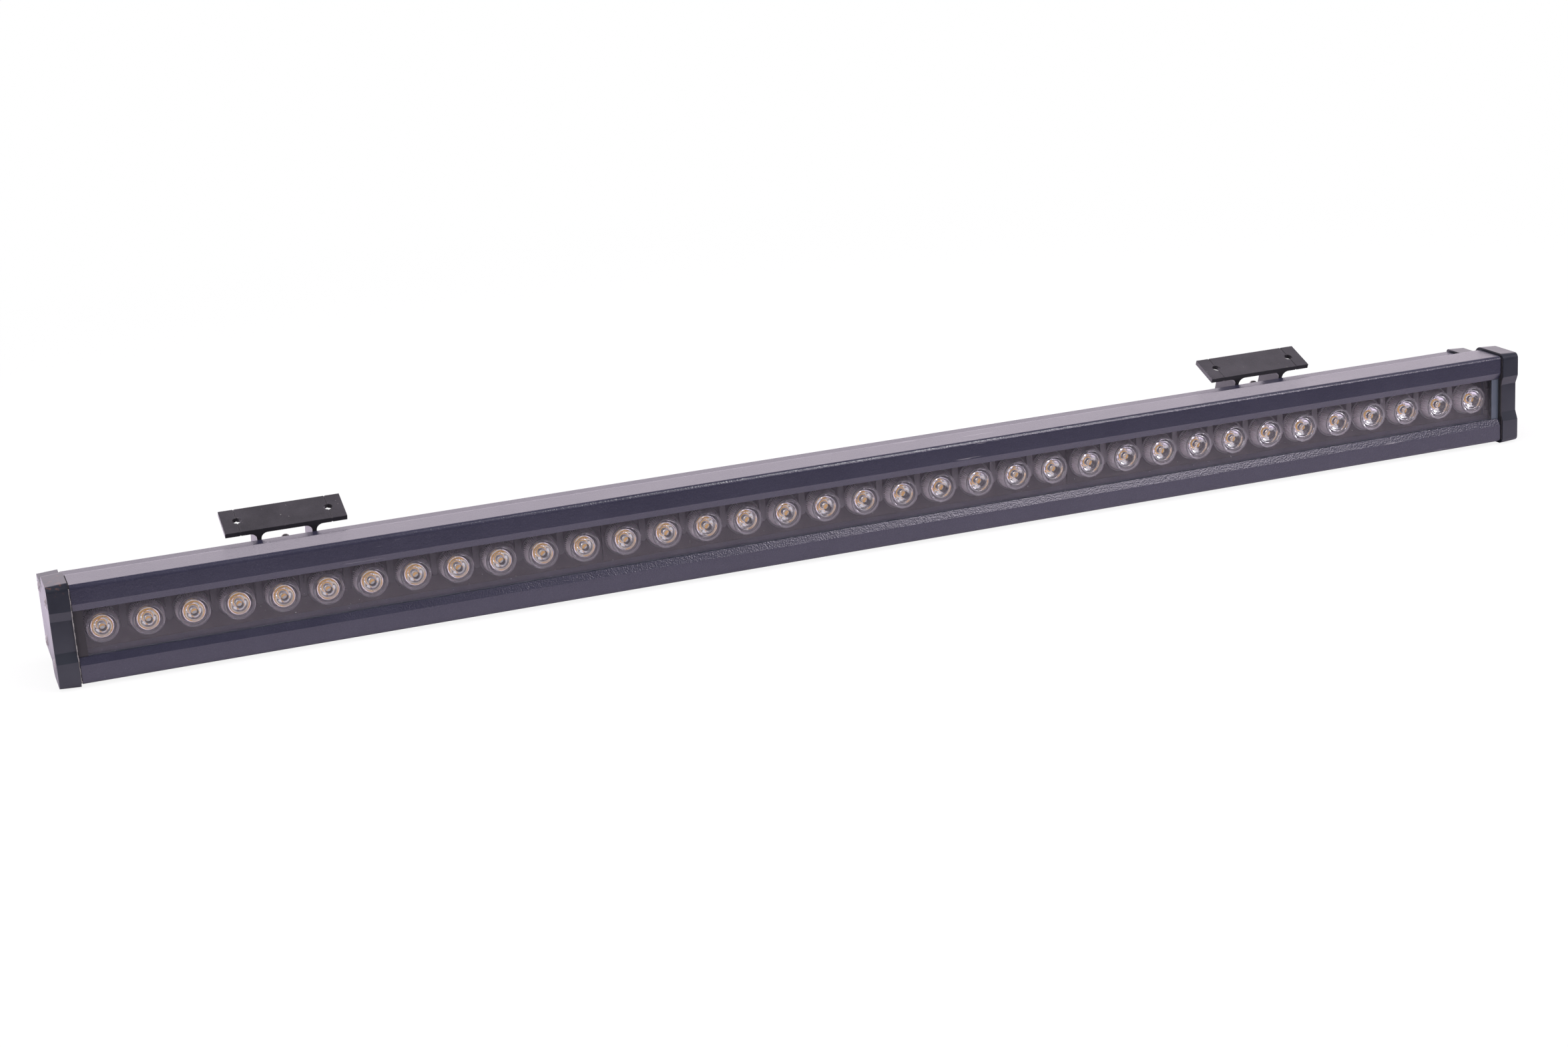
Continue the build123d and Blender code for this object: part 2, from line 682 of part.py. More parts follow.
    with BuildPart() as slot_nuts:
        with BuildSketch(slot_plane.offset(nut_face)):
            with Locations(*bolt_places):
                hexagon(slot_nut_flats)
                Circle(slot_bolt_radius + 0.05, mode=Mode.SUBTRACT)
        extrude(amount=slot_nut_height)
        with BuildSketch(slot_plane.offset(flange_back)):
            with Locations(*bolt_places):
                Circle(slot_nut_flats / 2)
                Circle(slot_bolt_radius + 0.05, mode=Mode.SUBTRACT)
        extrude(amount=small_washer_thickness)
    finish(slot_nuts, f"channel_nuts_{name}")

    # The screw that pinches the slit knuckle ends in a domed nut on top.
    pinch_plane = Plane(origin=(place, clamp_screw_depth, 0))
    nut_seat = knuckle_height / 2
    with BuildPart() as pinch_screw:
        with BuildSketch(pinch_plane.offset(-nut_seat - clamp_head)):
            Circle(clamp_nut_flats / 2)
        extrude(amount=clamp_head)
        with BuildSketch(pinch_plane.offset(-nut_seat)):
            Circle(clamp_screw_radius)
        extrude(amount=2 * nut_seat + clamp_nut_hex)
    finish(pinch_screw, f"pinch_screw_{name}")

    with BuildPart() as dome_nut:
        with BuildSketch(pinch_plane.offset(nut_seat)):
            hexagon(clamp_nut_flats)
        extrude(amount=clamp_nut_hex)
        with BuildSketch(pinch_plane.offset(nut_seat + clamp_nut_hex)):
            Circle(clamp_dome_radius)
        extrude(amount=clamp_nut_top - nut_seat - clamp_nut_hex)
        fillet(dome_nut.edges().filter_by(GeomType.CIRCLE).sort_by(Axis.Z)[-1],
               clamp_dome_radius - 0.3)
        with BuildSketch(pinch_plane.offset(nut_seat)):
            Circle(clamp_screw_radius + 0.05)
        extrude(amount=clamp_nut_hex + 0.1, mode=Mode.SUBTRACT)
    finish(dome_nut, f"dome_nut_{name}")
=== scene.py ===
import math

import bmesh
import bpy
import numpy as np
from mathutils import Matrix, Vector


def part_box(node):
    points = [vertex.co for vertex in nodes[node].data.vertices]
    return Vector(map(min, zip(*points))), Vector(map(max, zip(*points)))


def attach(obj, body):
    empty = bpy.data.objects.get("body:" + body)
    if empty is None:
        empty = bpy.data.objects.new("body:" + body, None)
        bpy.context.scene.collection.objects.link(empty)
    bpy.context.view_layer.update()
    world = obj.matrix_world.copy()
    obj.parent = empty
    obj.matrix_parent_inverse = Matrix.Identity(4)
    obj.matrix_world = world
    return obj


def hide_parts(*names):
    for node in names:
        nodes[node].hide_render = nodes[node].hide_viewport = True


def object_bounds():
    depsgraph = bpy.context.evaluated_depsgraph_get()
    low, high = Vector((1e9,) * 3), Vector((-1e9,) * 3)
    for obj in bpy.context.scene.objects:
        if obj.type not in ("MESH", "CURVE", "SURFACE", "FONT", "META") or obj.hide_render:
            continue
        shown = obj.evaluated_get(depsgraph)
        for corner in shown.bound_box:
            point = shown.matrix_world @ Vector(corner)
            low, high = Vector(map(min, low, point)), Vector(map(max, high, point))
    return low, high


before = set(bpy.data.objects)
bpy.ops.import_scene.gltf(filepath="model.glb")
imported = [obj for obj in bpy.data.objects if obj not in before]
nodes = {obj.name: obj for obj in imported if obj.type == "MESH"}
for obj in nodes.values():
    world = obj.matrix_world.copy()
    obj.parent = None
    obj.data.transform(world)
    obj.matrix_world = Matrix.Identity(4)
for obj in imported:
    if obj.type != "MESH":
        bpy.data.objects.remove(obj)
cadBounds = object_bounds()
print("frame loaded:", len(nodes), "nodes")

mm = 0.001
weldDistance = 0.0001 * mm


def addObject(name, data):
    made = bpy.data.objects.new(name, data)
    bpy.context.scene.collection.objects.link(made)
    return made


# Rows of points become quads. Every grid is (rows, columns, 3), and its last column joins its
# first. Where the first row's points all meet, it and the last row are poles. Otherwise the
# grid is a ring, and its last row joins its first. Several grids make one mesh.
def gridMesh(name, grids, finish, sharpAngle):
    allPoints, allFaces, start = [], [], 0
    for grid in grids:
        isRing = np.ptp(grid[0], axis=0).max() > weldDistance
        rows, columns = grid.shape[:2]
        number = start + np.arange(rows * columns).reshape(rows, columns)
        number = np.concatenate([number, number[:, :1]], axis=1)
        if isRing:
            number = np.concatenate([number, number[:1]])
        corners = [number[:-1, :-1], number[:-1, 1:], number[1:, 1:], number[1:, :-1]]
        allPoints.append(grid.reshape(-1, 3))
        allFaces.append(np.stack(corners, axis=-1).reshape(-1, 4))
        start += rows * columns
    mesh = bpy.data.meshes.new(name)
    mesh.from_pydata(np.concatenate(allPoints).tolist(), [], np.concatenate(allFaces).tolist())
    shell = bmesh.new()
    shell.from_mesh(mesh)
    bmesh.ops.remove_doubles(shell, verts=shell.verts, dist=weldDistance)
    bmesh.ops.recalc_face_normals(shell, faces=shell.faces)
    shell.to_mesh(mesh)
    shell.free()
    mesh.shade_smooth()
    mesh.set_sharp_from_angle(angle=math.radians(sharpAngle))
    mesh.materials.append(finish)
    return addObject(name, mesh)


# Angles of the points round one turn, the last one short of the first.
def roundTurn(segments):
    return np.linspace(0, 2 * np.pi, segments, endpoint=False)


# A circle about the -Y axis: x = r cos a, z = r sin a, and y = depth, counted backwards from
# the front. Radius and depth may differ from point to point or from row to row.
def circle(angle, radius, depth):
    return np.stack([radius * np.cos(angle), depth + 0 * angle, radius * np.sin(angle)], axis=-1)


# A profile of (radius, depth) pairs carried round the -Y axis.
def turned(profile, segments):
    profile = np.array(profile, float)
    return circle(roundTurn(segments), profile[:, :1], profile[:, 1:])


# Copies of one grid, moved to each of the places.
def copies(grid, places):
    return [grid + np.array(place) for place in places]


# Below, an input is a plain number or colour, or the output of another node.
def feed(tree, socket, value):
    if isinstance(value, bpy.types.NodeSocket):
        tree.links.new(value, socket)
    else:
        socket.default_value = value


def addNode(tree, kind, inputs=None, **settings):
    made = tree.nodes.new(kind)
    for key, value in settings.items():
        setattr(made, key, value)
    for key, value in (inputs or {}).items():
        feed(tree, made.inputs[key], value)
    return made


def newMaterial(name):
    material = bpy.data.materials.new(name)
    material.use_nodes = True
    tree = material.node_tree
    tree.nodes.clear()
    place = addNode(tree, "ShaderNodeTexCoord").outputs["Object"]
    return material, tree, place


def noise(tree, place, scale, detail=3.0, roughness=0.55, stretch=None):
    if stretch:
        place = addNode(tree, "ShaderNodeMapping", {"Vector": place, "Scale": stretch}).outputs[0]
    return addNode(tree, "ShaderNodeTexNoise", {
        "Vector": place, "Scale": scale, "Detail": detail, "Roughness": roughness}).outputs["Fac"]


def axes(tree, place):
    return addNode(tree, "ShaderNodeSeparateXYZ", {"Vector": place}).outputs


# Carries low...high to toLow...toHigh, and stops at both ends.
def spread(tree, value, low, high, toLow=0.0, toHigh=1.0):
    return addNode(tree, "ShaderNodeMapRange", {
        "Value": value, "From Min": low, "From Max": high, "To Min": toLow, "To Max": toHigh},
        clamp=True).outputs["Result"]


def mixColour(tree, factor, first, second):
    made = addNode(tree, "ShaderNodeMix", {0: factor}, data_type="RGBA")
    for socket, value in ((6, first), (7, second)):
        isLink = isinstance(value, bpy.types.NodeSocket)
        feed(tree, made.inputs[socket], value if isLink else (*value, 1.0))
    return made.outputs[2]


def maths(tree, kind, first, second):
    return addNode(tree, "ShaderNodeMath", {0: first, 1: second}, operation=kind).outputs[0]


def times(tree, first, second):
    return maths(tree, "MULTIPLY", first, second)


def bump(tree, height, distance, strength=1.0, before=None):
    inputs = {"Height": height, "Distance": distance, "Strength": strength}
    if before:
        inputs["Normal"] = before
    return addNode(tree, "ShaderNodeBump", inputs).outputs["Normal"]


def mixShaders(tree, factor, first, second):
    return addNode(tree, "ShaderNodeMixShader", {
        0: factor, 1: first.outputs[0], 2: second.outputs[0]})


def finishShader(tree, **inputs):
    shader = addNode(tree, "ShaderNodeBsdfPrincipled", inputs)
    addNode(tree, "ShaderNodeOutputMaterial", {"Surface": shader.outputs[0]})


cameraView = {
    "place": (-0.5894, -1.6258, 0.4793),
    "azimuth": 19.20,          # degrees to the right of +Y
    "elevation": -16.29,
    "roll": -3.89,
    "focalLength": 62.31,
    "sensorWidth": 36,
    "clip": (0.05, 50),
}


def setCamera():
    azimuth, elevation, roll = (
        math.radians(cameraView[part]) for part in ("azimuth", "elevation", "roll"))
    forward = Vector((math.sin(azimuth) * math.cos(elevation),
                      math.cos(azimuth) * math.cos(elevation), math.sin(elevation)))
    level = forward.cross(Vector((0, 0, 1))).normalized()
    above = level.cross(forward)
    right = level * math.cos(roll) + above * math.sin(roll)
    up = right.cross(forward)
    data = bpy.data.cameras.new("camera")
    data.sensor_width = cameraView["sensorWidth"]
    data.lens = cameraView["focalLength"]
    data.clip_start, data.clip_end = cameraView["clip"]
    camera = addObject("camera", data)
    turn = Matrix((right, up, -forward)).transposed().to_4x4()
    camera.matrix_world = Matrix.Translation(cameraView["place"]) @ turn
    bpy.context.scene.camera = camera


setCamera()
print("camera set")


# In the finishes, a noise is its scale, detail, roughness and stretch, and a spread is the value
# that gives none of a thing and the value that gives all of it. Heights are in metres.
powderCoat = {
    "dark": (0.013, 0.013, 0.029),
    "light": (0.031, 0.030, 0.054),
    "fleck": (0.20, 0.19, 0.23),
    "scuff": (0.36, 0.34, 0.36),
    "grain": (1050, 1.5, 0.45),          # orange peel, cells of just under 1 mm
    "grainHeight": 0.00014,
    "fine": (1700, 2.0, 0.5),
    "fineHeight": 0.00004,
    "cloud": (22, 4.0, 0.6),
    "fineInTone": 0.7,
    "cloudInTone": 0.5,
    "toneSpread": (0.30, 0.90),
    "fleckScale": 2400,
    "fleckSpread": (0.80, 0.98),
    "fleckShare": 0.10,
    "scratch": (60, 2.0, 0.5, (0.35, 6.0, 9.0)),
    "scratchSpread": (0.715, 0.74),
    "scratchPatch": (14, 2.0, 0.5),
    "patchSpread": (0.60, 0.68),
    "dust": (1100, 1.0),
    "dustSpread": (0.79, 0.82),
    "dustyCloud": (0.50, 0.70),
    "nick": (210, 3.0, 0.6, (0.5, 1.4, 1.4)),
    "nickSpread": (0.72, 0.75),
    "nickEnd": (-0.380, -0.440),         # along X, towards the left end
    "markShare": 0.45,
    "glossCloud": (0.3, 0.75),
    "roughness": (0.28, 0.34),
    "behindHead": (-0.0350, -0.0344),    # along Y, from the head to the body behind it
    "mattBehind": 0.10,
    "ior": 1.5,
    "coat": 0.6,
    "coatRoughness": 0.12,
    "coatIor": 1.5,
}


def makePowderCoat():
    coat = powderCoat
    material, tree, place = newMaterial("powderCoat")
    grain = noise(tree, place, *coat["grain"])
    fine = noise(tree, place, *coat["fine"])
    cloud = noise(tree, place, *coat["cloud"])
    flecks = addNode(tree, "ShaderNodeTexVoronoi", {
        "Vector": place, "Scale": coat["fleckScale"]}).outputs["Color"]
    isFleck = spread(tree, flecks, *coat["fleckSpread"])
    tone = maths(tree, "ADD", times(tree, fine, coat["fineInTone"]),
                 times(tree, cloud, coat["cloudInTone"]))
    base = mixColour(tree, spread(tree, tone, *coat["toneSpread"]), coat["dark"], coat["light"])
    flecked = mixColour(tree, times(tree, isFleck, coat["fleckShare"]), base, coat["fleck"])
    scratchLine = noise(tree, place, *coat["scratch"])
    scratchPatch = noise(tree, place, *coat["scratchPatch"])
    scratch = times(tree, spread(tree, scratchLine, *coat["scratchSpread"]),
                    spread(tree, scratchPatch, *coat["patchSpread"]))
    dust = times(tree, spread(tree, noise(tree, place, *coat["dust"]), *coat["dustSpread"]),
                 spread(tree, cloud, *coat["dustyCloud"]))
    # short pale nicks gather towards the left end
    along = axes(tree, place)
    nearLeft = spread(tree, along["X"], *coat["nickEnd"])
    nick = spread(tree, noise(tree, place, *coat["nick"]), *coat["nickSpread"])
    marks = maths(tree, "MAXIMUM", maths(tree, "MAXIMUM", scratch, dust),
                  times(tree, nearLeft, nick))
    worn = mixColour(tree, times(tree, marks, coat["markShare"]), flecked, coat["scuff"])
    # the body behind the head is a little more matt
    behind = spread(tree, along["Y"], *coat["behindHead"], 0.0, coat["mattBehind"])
    rough = maths(tree, "ADD", spread(tree, cloud, *coat["glossCloud"], *coat["roughness"]), behind)
    peel = bump(tree, grain, coat["grainHeight"])
    normal = bump(tree, fine, coat["fineHeight"], before=peel)
    finishShader(tree, **{
        "Base Color": worn, "Roughness": rough, "Normal": normal, "IOR": coat["ior"],
        "Coat Weight": coat["coat"], "Coat Roughness": coat["coatRoughness"],
        "Coat IOR": coat["coatIor"], "Coat Normal": normal})
    return material


capCoat = {
    "dark": (0.011, 0.013, 0.020),
    "light": (0.022, 0.025, 0.035),
    "rust": (0.16, 0.07, 0.04),
    "scuff": (0.20, 0.21, 0.23),
    "cloud": (30, 4.0, 0.55),
    "cloudSpread": (0.3, 0.7),
    "fine": (260, 2.0, 0.5),
    "fineHeight": 0.00003,
    "bumpStrength": 0.8,
    "streak": (90, 3.0, 0.6, (1.0, 1.0, 0.25)),
    "streakSpread": (0.64, 0.78),
    "streakShare": 0.12,
    "speck": (420, 3.0, 0.6),
    "speckSpread": (0.58, 0.66),
    "rustEnd": (-0.486, -0.492),         # along X, over the left cap
    "rustTop": (0.024, 0.031),           # along Z
    "rustShare": 0.5,
    "roughness": (0.29, 0.37),
    "ior": 1.45,
    "coat": 0.3,
    "coatRoughness": 0.14,
}


def makeCapCoat():
    coat = capCoat
    material, tree, place = newMaterial("capCoat")
    cloud = noise(tree, place, *coat["cloud"])
    fine = noise(tree, place, *coat["fine"])
    base = mixColour(tree, spread(tree, cloud, *coat["cloudSpread"]), coat["dark"], coat["light"])
    streak = spread(tree, noise(tree, place, *coat["streak"]), *coat["streakSpread"])
    scuffed = mixColour(tree, times(tree, streak, coat["streakShare"]), base, coat["scuff"])
    # brown specks gather on top of the left cap
    along = axes(tree, place)
    nearLeft = spread(tree, along["X"], *coat["rustEnd"])
    onTop = spread(tree, along["Z"], *coat["rustTop"])
    specks = spread(tree, noise(tree, place, *coat["speck"]), *coat["speckSpread"])
    rust = times(tree, times(tree, nearLeft, onTop), specks)
    rusty = mixColour(tree, times(tree, rust, coat["rustShare"]), scuffed, coat["rust"])
    rough = spread(tree, cloud, *coat["cloudSpread"], *coat["roughness"])
    normal = bump(tree, fine, coat["fineHeight"], coat["bumpStrength"])
    finishShader(tree, **{
        "Base Color": rusty, "Roughness": rough, "Normal": normal, "IOR": coat["ior"],
        "Coat Weight": coat["coat"], "Coat Roughness": coat["coatRoughness"],
        "Coat Normal": normal})
    return material


bracketCoat = {
    "dark": (0.030, 0.028, 0.032),
    "light": (0.050, 0.046, 0.053),
    "bare": (0.45, 0.43, 0.42),
    "grain": (900, 3.0, 0.6),
    "grainSpread": (0.3, 0.7),
    "grainHeight": 0.00003,
    "bumpStrength": 0.8,
    "cloud": (60, 4.0, 0.6),
    "cloudInTone": 0.6,
    "drawn": (250, 2.0, 0.5, (8.0, 0.4, 8.0)),
    "drawnInTone": 0.4,
    "toneSpread": (0.35, 0.65),
    "fleck": (620, 1.0),
    "fleckSpread": (0.765, 0.79),
    "fleckShare": 0.35,
    "edgeRadius": 0.0004,
    "edgeSamples": 6,
    "edgeSpread": (0.97, 0.80),          # likeness of the rounded normal to the flat one
    "chip": (420, 3.0, 0.6),
    "chipSpread": (0.58, 0.66),
    "chipShare": 0.6,
    "roughness": 0.30,
    "saddleRoughness": 0.36,
    "roughnessRange": 0.1,
    "ior": 1.5,
    "coat": 0.4,
    "coatRoughness": 0.2,
}


def makeBracketCoat(name, roughness):
    coat = bracketCoat
    material, tree, place = newMaterial(name)
    grain = noise(tree, place, *coat["grain"])
    cloud = noise(tree, place, *coat["cloud"])
    drawn = noise(tree, place, *coat["drawn"])
    tone = maths(tree, "ADD", times(tree, cloud, coat["cloudInTone"]),
                 times(tree, drawn, coat["drawnInTone"]))
    worn = mixColour(tree, spread(tree, tone, *coat["toneSpread"]), coat["dark"], coat["light"])
    fleck = spread(tree, noise(tree, place, *coat["fleck"]), *coat["fleckSpread"])
    base = mixColour(tree, times(tree, fleck, coat["fleckShare"]), worn, coat["bare"])
    rounded = addNode(tree, "ShaderNodeBevel", {"Radius": coat["edgeRadius"]},
                      samples=coat["edgeSamples"]).outputs["Normal"]
    flat = addNode(tree, "ShaderNodeNewGeometry").outputs["Normal"]
    likeness = addNode(tree, "ShaderNodeVectorMath", {0: rounded, 1: flat},
                       operation="DOT_PRODUCT").outputs["Value"]
    edge = spread(tree, likeness, *coat["edgeSpread"])
    chips = spread(tree, noise(tree, place, *coat["chip"]), *coat["chipSpread"])
    chipped = mixColour(tree, times(tree, times(tree, edge, chips), coat["chipShare"]),
                        base, coat["bare"])
    rough = spread(tree, grain, *coat["grainSpread"], roughness, roughness + coat["roughnessRange"])
    normal = bump(tree, grain, coat["grainHeight"], coat["bumpStrength"], before=rounded)
    finishShader(tree, **{
        "Base Color": chipped, "Roughness": rough, "Normal": normal, "IOR": coat["ior"],
        "Coat Weight": coat["coat"], "Coat Roughness": coat["coatRoughness"]})
    return material


clearPlastic = {
    "haze": (35, 4.0, 0.65, (0.5, 1.0, 1.0)),
    "hazeSpread": (0.35, 0.8),
    "speck": (850, 1.0),
    "speckSpread": (0.77, 0.81),
    "shadow": (0.98, 0.98, 0.98, 1),
}


# Shadows pass straight through clear pieces, so that what lies behind them is lit.
def makeClear(name, colour, ior, smear, speck):
    material, tree, place = newMaterial(name)
    haze = noise(tree, place, *clearPlastic["haze"])
    specks = spread(tree, noise(tree, place, *clearPlastic["speck"]), *clearPlastic["speckSpread"])
    rough = maths(tree, "ADD", spread(tree, haze, *clearPlastic["hazeSpread"], 0.0, smear),
                  times(tree, specks, speck))
    shader = addNode(tree, "ShaderNodeBsdfPrincipled", {
        "Base Color": (*colour, 1), "Roughness": rough, "IOR": ior, "Transmission Weight": 1.0})
    isShadow = addNode(tree, "ShaderNodeLightPath").outputs["Is Shadow Ray"]
    through = addNode(tree, "ShaderNodeBsdfTransparent", {"Color": clearPlastic["shadow"]})
    mixed = mixShaders(tree, isShadow, shader, through)
    addNode(tree, "ShaderNodeOutputMaterial", {"Surface": mixed.outputs[0]})
    return material


moulded = {
    "detail": (4.0, 0.6),                # of the fine noise, after its scale
    "cloudCoarser": 12,
    "cloudDetail": (3.0, 0.6),
    "middleSpread": (0.3, 0.7),
    "roughnessRange": 0.06,
    "height": 0.00003,
    "bumpStrength": 0.8,
}


def makeMoulded(name, dark, light, roughness, scale=500, **more):
    material, tree, place = newMaterial(name)
    fine = noise(tree, place, scale, *moulded["detail"])
    cloud = noise(tree, place, scale / moulded["cloudCoarser"], *moulded["cloudDetail"])
    rough = spread(tree, fine, *moulded["middleSpread"], roughness - moulded["roughnessRange"],
                   roughness + moulded["roughnessRange"])
    finishShader(tree, **{
        "Base Color": mixColour(tree, spread(tree, cloud, *moulded["middleSpread"]), dark, light),
        "Roughness": rough, "Normal": bump(tree, fine, moulded["height"], moulded["bumpStrength"]),
        **more})
    return material


holderPlasticPaintedShading = {
    "left": (0.075, 0.068, 0.072),
    "right": (0.32, 0.30, 0.31),
    "paler": (-0.30, 0.35),              # along X
    "fine": (500, 4.0, 0.6),
    "mottle": 0.25,
    "roughness": (0.30, 0.42),
}


# The holder plastic is the darker, shaded copy of the skirts' plastic (painted shade), and it is
# painted paler from the left end to the right, as more light falls into them.
def makeHolder():
    plastic = holderPlasticPaintedShading
    material, tree, place = newMaterial("holderPlasticPaintedShading")
    fine = noise(tree, place, *plastic["fine"])
    paler = spread(tree, axes(tree, place)["X"], *plastic["paler"])
    base = mixColour(tree, paler, plastic["left"], plastic["right"])
    mottle = spread(tree, fine, *moulded["middleSpread"], 0.0, plastic["mottle"])
    finishShader(tree, **{
        "Base Color": mixColour(tree, mottle, base, plastic["left"]),
        "Roughness": spread(tree, fine, *moulded["middleSpread"], *plastic["roughness"]),
        "Normal": bump(tree, fine, moulded["height"], moulded["bumpStrength"])})
    return material


screwSteel = {
    "bright": (0.42, 0.41, 0.40),
    "stained": (0.20, 0.18, 0.16),
    "brushed": (900, 3.0, 0.6, (1.0, 0.2, 1.0)),
    "brushedSpread": (0.3, 0.7),
    "height": 0.00002,
    "stain": (260, 4.0, 0.6),
    "stainSpread": (0.45, 0.75),
    "roughness": (0.18, 0.34),
}


def makeSteel():
    steel = screwSteel
    material, tree, place = newMaterial("screwSteel")
    brushed = noise(tree, place, *steel["brushed"])
    stain = spread(tree, noise(tree, place, *steel["stain"]), *steel["stainSpread"])
    finishShader(tree, **{
        "Base Color": mixColour(tree, stain, steel["bright"], steel["stained"]), "Metallic": 1.0,
        "Roughness": spread(tree, brushed, *steel["brushedSpread"], *steel["roughness"]),
        "Normal": bump(tree, brushed, steel["height"])})
    return material


clearFinishes = {
    "coverGlass": {"colour": (0.95, 0.94, 0.96), "ior": 1.5, "smear": 0.012, "speck": 0.3},
    "lensAcrylic": {"colour": (0.99, 0.99, 0.99), "ior": 1.49, "smear": 0.008, "speck": 0.1},
}

plainFinishes = {
    # painted light: the ribbed skirts are a far paler, lit copy of the holders' own plastic
    "skirtPlasticPaintedLit": {
        "dark": (0.78, 0.71, 0.74), "light": (0.90, 0.83, 0.86), "roughness": 0.32},
    "boardMask": {
        "dark": (0.040, 0.029, 0.033), "light": (0.054, 0.041, 0.045), "roughness": 0.40},
    "silicone": {
        "dark": (0.055, 0.070, 0.095), "light": (0.085, 0.100, 0.130), "roughness": 0.42,
        "scale": 300},
    "siliconeInShade": {
        "dark": (0.021, 0.018, 0.021), "light": (0.031, 0.027, 0.031), "roughness": 0.45,
        "scale": 300},
    "sealantBead": {
        "dark": (0.16, 0.15, 0.15), "light": (0.30, 0.28, 0.28), "roughness": 0.42,
        "scale": 900},
    "gasketRubber": {
        "dark": (0.008, 0.008, 0.009), "light": (0.018, 0.018, 0.020), "roughness": 0.62},
    "driverBoard": {
        "dark": (0.01, 0.07, 0.03), "light": (0.02, 0.11, 0.05), "roughness": 0.35},
    "componentPlastic": {
        "dark": (0.02, 0.02, 0.025), "light": (0.045, 0.045, 0.05), "roughness": 0.42},
    "glandNylon": {
        "dark": (0.012, 0.012, 0.013), "light": (0.028, 0.028, 0.030), "roughness": 0.45},
    # painted glow: the dish of bright metal gives off a little light of its own
    "emitterDish": {
        "dark": (0.74, 0.74, 0.73), "light": (0.86, 0.86, 0.85), "roughness": 0.24,
        "Metallic": 0.5, "Emission Color": (1.0, 0.97, 1.0, 1), "Emission Strength": 0.12},
    # painted highlight: pale grey that glows a little, for the crescent and the bump in each lens's
    # middle
    "emitterPaintedGlint": {
        "dark": (0.55, 0.55, 0.55), "light": (0.65, 0.65, 0.65), "roughness": 0.20,
        "Emission Color": (1.0, 0.98, 1.0, 1), "Emission Strength": 0.14},
    # painted glow: the phosphor gives off a little amber light of its own
    "phosphor": {
        "dark": (0.84, 0.44, 0.07), "light": (0.93, 0.54, 0.12), "roughness": 0.30,
        "scale": 2500, "Coat Weight": 0.6, "Coat Roughness": 0.05,
        "Emission Color": (0.95, 0.52, 0.10, 1), "Emission Strength": 0.16},
}

finishes = {
    "powderCoat": makePowderCoat(),
    "capCoat": makeCapCoat(),
    "bracketCoat": makeBracketCoat("bracketCoat", bracketCoat["roughness"]),
    "saddleCoat": makeBracketCoat("saddleCoat", bracketCoat["saddleRoughness"]),
    "holderPlasticPaintedShading": makeHolder(),
    "screwSteel": makeSteel(),
}
for name, values in clearFinishes.items():
    finishes[name] = makeClear(name, **values)
for name, values in plainFinishes.items():
    finishes[name] = makeMoulded(name, **values)
print("finishes made")

fasteners = ("pivot_bolt", "pivot_nut", "pivot_washers", "channel_bolts", "channel_nuts",
             "pinch_screw", "dome_nut")

dressed = {
    "powderCoat": ["housing"],
    "capCoat": ["end_cap_left", "end_cap_right"],
    "bracketCoat": ["bracket_left", "bracket_right"],
    "saddleCoat": ["saddle_left", "saddle_right"],
    "coverGlass": ["glass_cover"],
    "silicone": ["glass_seal_top", "glass_seal_bottom", "glass_end_seal_right"],
    "siliconeInShade": ["glass_end_seal_left"],
    "gasketRubber": ["end_seal_left", "end_seal_right", "lead_grommet", "gland_seal"],
    "boardMask": ["led_board_1", "led_board_2", "led_board_3"],
    "driverBoard": ["driver_board"],
    "componentPlastic": ["driver_transformer", "driver_capacitors", "driver_choke",
                         "terminal_block", "led_leads"],
    "glandNylon": ["gland_body", "gland_nut", "gland_locknut"],
    "screwSteel": ["driver_standoffs",
                   *[f"{part}_{side}" for side in ("left", "right") for part in fasteners]],
}

for finish, names in dressed.items():
    for name in names:
        for slot in nodes[name].material_slots:
            slot.material = finishes[finish]
print("carried-over nodes dressed")


lampRow = {
    "count": 12,
    "pitch": 26.875 * mm,
}

lensForm = {
    "segments": 72,
    "sharpAngle": 28,              # degrees, as in every form below
    "radius": 9.55 * mm,
    "faceRadius": 8.45 * mm,       # raised front face inside the flange
    "faceRow": 0.75,               # one more row of points on the face, as a share of its radius
    "faceStep": 0.5 * mm,
    "stepFlare": 0.05 * mm,
    "flangeThickness": 1.5 * mm,
    "edgeRound": 0.25 * mm,
    "faceRound": (0.06 * mm, 0.07 * mm),      # middle of the round, inwards and backwards
    "flangeRound": (0.07 * mm, 0.07 * mm),
    "pitRadius": 2.2 * mm,         # hollow in the middle of the front
    "lipIn": 0.03 * mm,
    "lipOut": 0.2 * mm,
    "lipDepth": 0.25 * mm,
    "pitFoot": 1.9 * mm,
    "pitDepth": 3.4 * mm,
    "pitCrown": 1.2 * mm,          # its bottom bulges forwards
    "archRows": 8,                 # in each of the two bulges
    "neckRadius": 7.9 * mm,        # clear body behind the flange
    "coneStart": 3.5 * mm,
    "coneTop": 6.8 * mm,
    "coneFoot": 3.7 * mm,
    "coneBulge": 1.6,
    "coneRows": 14,
    "depth": 9.1 * mm,
    "wellRadius": 2.8 * mm,        # hollow over the emitter
    "wellTop": 2.1 * mm,
    "wellDepth": 3.2 * mm,
    "wellCrown": 0.9 * mm,         # its top bulges backwards
    "wellRound": 0.05 * mm,
}

